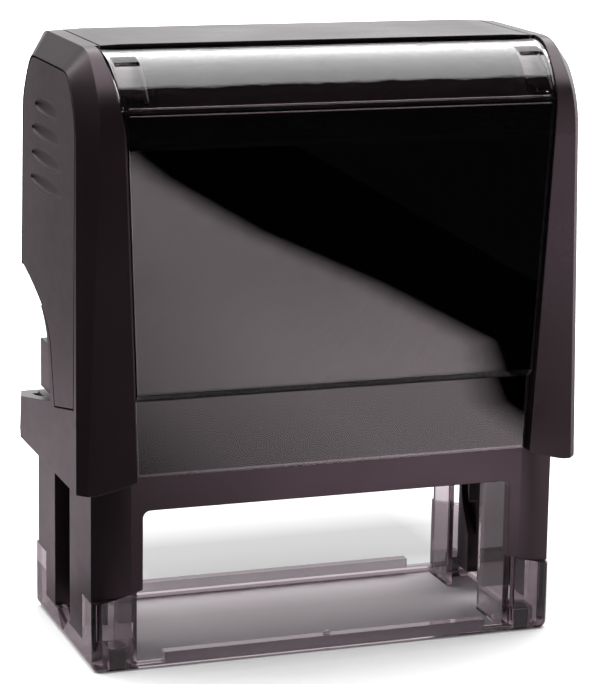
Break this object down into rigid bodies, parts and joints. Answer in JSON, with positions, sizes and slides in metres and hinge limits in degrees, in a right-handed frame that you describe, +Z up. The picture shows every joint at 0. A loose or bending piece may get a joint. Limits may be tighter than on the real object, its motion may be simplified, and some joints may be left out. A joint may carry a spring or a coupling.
{
  "type": "self-inking stamp",
  "caption": "Rectangular self-inking stamp: a spring-loaded cap slides down over a clear-based frame and turns the text plate from the ink pad above to the paper below.",
  "frame": {"origin": "on the ground under the middle of the cap", "axes": "+X to the right, +Y to the back where the ink cartridge comes out, +Z up along the cap's travel; the front faces -Y"},
  "size_m": [0.0798, 0.0432, 0.0928],
  "materials": {
    "black_shell": "satin",
    "black_textured": "fine matt texture",
    "clear_window": "polished clear",
    "black_card": "gloss",
    "black_inner": "satin",
    "black_frame": "satin",
    "grey_plate": "satin",
    "foam": "closed-cell foam",
    "die_rubber": "laser-cut rubber",
    "inked_foam": "ink-soaked foam",
    "inked_cloth": "ink-soaked weave",
    "smoky_clear": "polished smoky clear",
    "foot_rubber": "matt",
    "spring_steel": "drawn wire"
  },
  "bodies": {
    "frame": {"frame": "black_frame", "clear_base": "smoky_clear", "corner_feet": "foot_rubber", "return_spring": "spring_steel"},
    "cap": {"cap_shell": "black_shell", "right_side_cover": "black_textured", "left_side_cover": "black_textured", "index_window": "clear_window", "index_card": "black_card", "right_drive_arm": "black_inner", "left_drive_arm": "black_inner"},
    "die": {"die_carrier": "black_inner", "text_plate_holder": "grey_plate", "die_cushion": "foam", "text_die": "die_rubber"},
    "cartridge": {"cartridge_tray": "black_inner", "ink_pad": "inked_foam", "pad_cloth": "inked_cloth"},
    "lock": {"lock_button": "black_inner"}
  },
  "joints": [
    {"name": "cap_slide", "type": "slide", "parent": "frame", "child": "cap", "axis": [0, 0, -1], "range_m": [0, 0.026], "stiffness_N_per_m": 300, "springref_m": -0.02, "deforming": ["return_spring"]},
    {"name": "die_turn", "type": "hinge", "parent": "cap", "child": "die", "pos_m": [0, 0.0008, 0.0305], "axis": [1, 0, 0], "range_deg": [0, 180]},
    {"name": "cartridge_slide", "type": "slide", "parent": "frame", "child": "cartridge", "axis": [0, 1, 0], "range_m": [0, 0.03]},
    {"name": "lock_press", "type": "slide", "parent": "cap", "child": "lock", "axis": [0, -1, 0], "range_m": [0, 0.0015]}
  ],
  "couplings": [
    {"joint": "die_turn", "follows": "cap_slide", "rad_per_m": 120.83}
  ]
}
